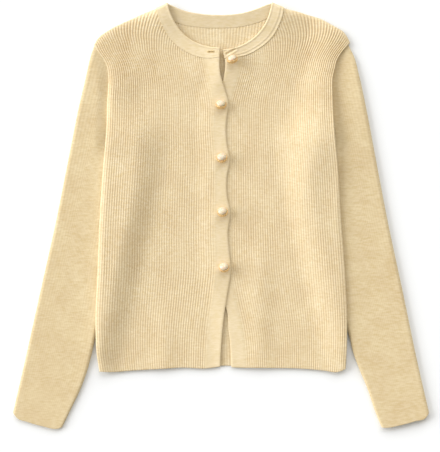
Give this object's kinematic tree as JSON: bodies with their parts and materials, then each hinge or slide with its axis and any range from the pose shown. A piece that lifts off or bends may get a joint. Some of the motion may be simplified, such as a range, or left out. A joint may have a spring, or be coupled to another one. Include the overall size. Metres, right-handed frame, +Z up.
{
  "type": "button cardigan",
  "caption": "Round-necked long-sleeved cardigan in fine rib knit, laid flat and buttoned, with plain front bands and neckband and pearl-topped gilt shank buttons.",
  "frame": {"origin": "middle of the bounding box, on the surface that the cardigan lies on", "axes": "+Z up off that surface, +Y from the hem to the neck, +X to the right seen from above, so the wearer's right side is at -X"},
  "size_m": [0.6246, 0.6401, 0.0242],
  "materials": {
    "rib_knit": "fine one-by-one rib knit in a warm cream wool-look yarn, matt with a soft nap",
    "plain_knit": "close plain knit of the same cream yarn, folded at its edge",
    "gilt": "polished gilt metal, slightly soft with wear",
    "pearl": "imitation pearl, glossy cream with a soft lustre"
  },
  "bodies": {
    "root": {"back": "rib_knit", "front_right": "rib_knit", "front_left": "rib_knit", "sleeve_right": "rib_knit", "sleeve_left": "rib_knit", "band_right": "plain_knit", "band_left": "plain_knit", "neckband": "plain_knit", "button_cup_1": "gilt", "button_cup_2": "gilt", "button_cup_3": "gilt", "button_cup_4": "gilt", "button_cup_5": "gilt", "button_pearl_1": "pearl", "button_pearl_2": "pearl", "button_pearl_3": "pearl", "button_pearl_4": "pearl", "button_pearl_5": "pearl"}
  },
  "joints": []
}
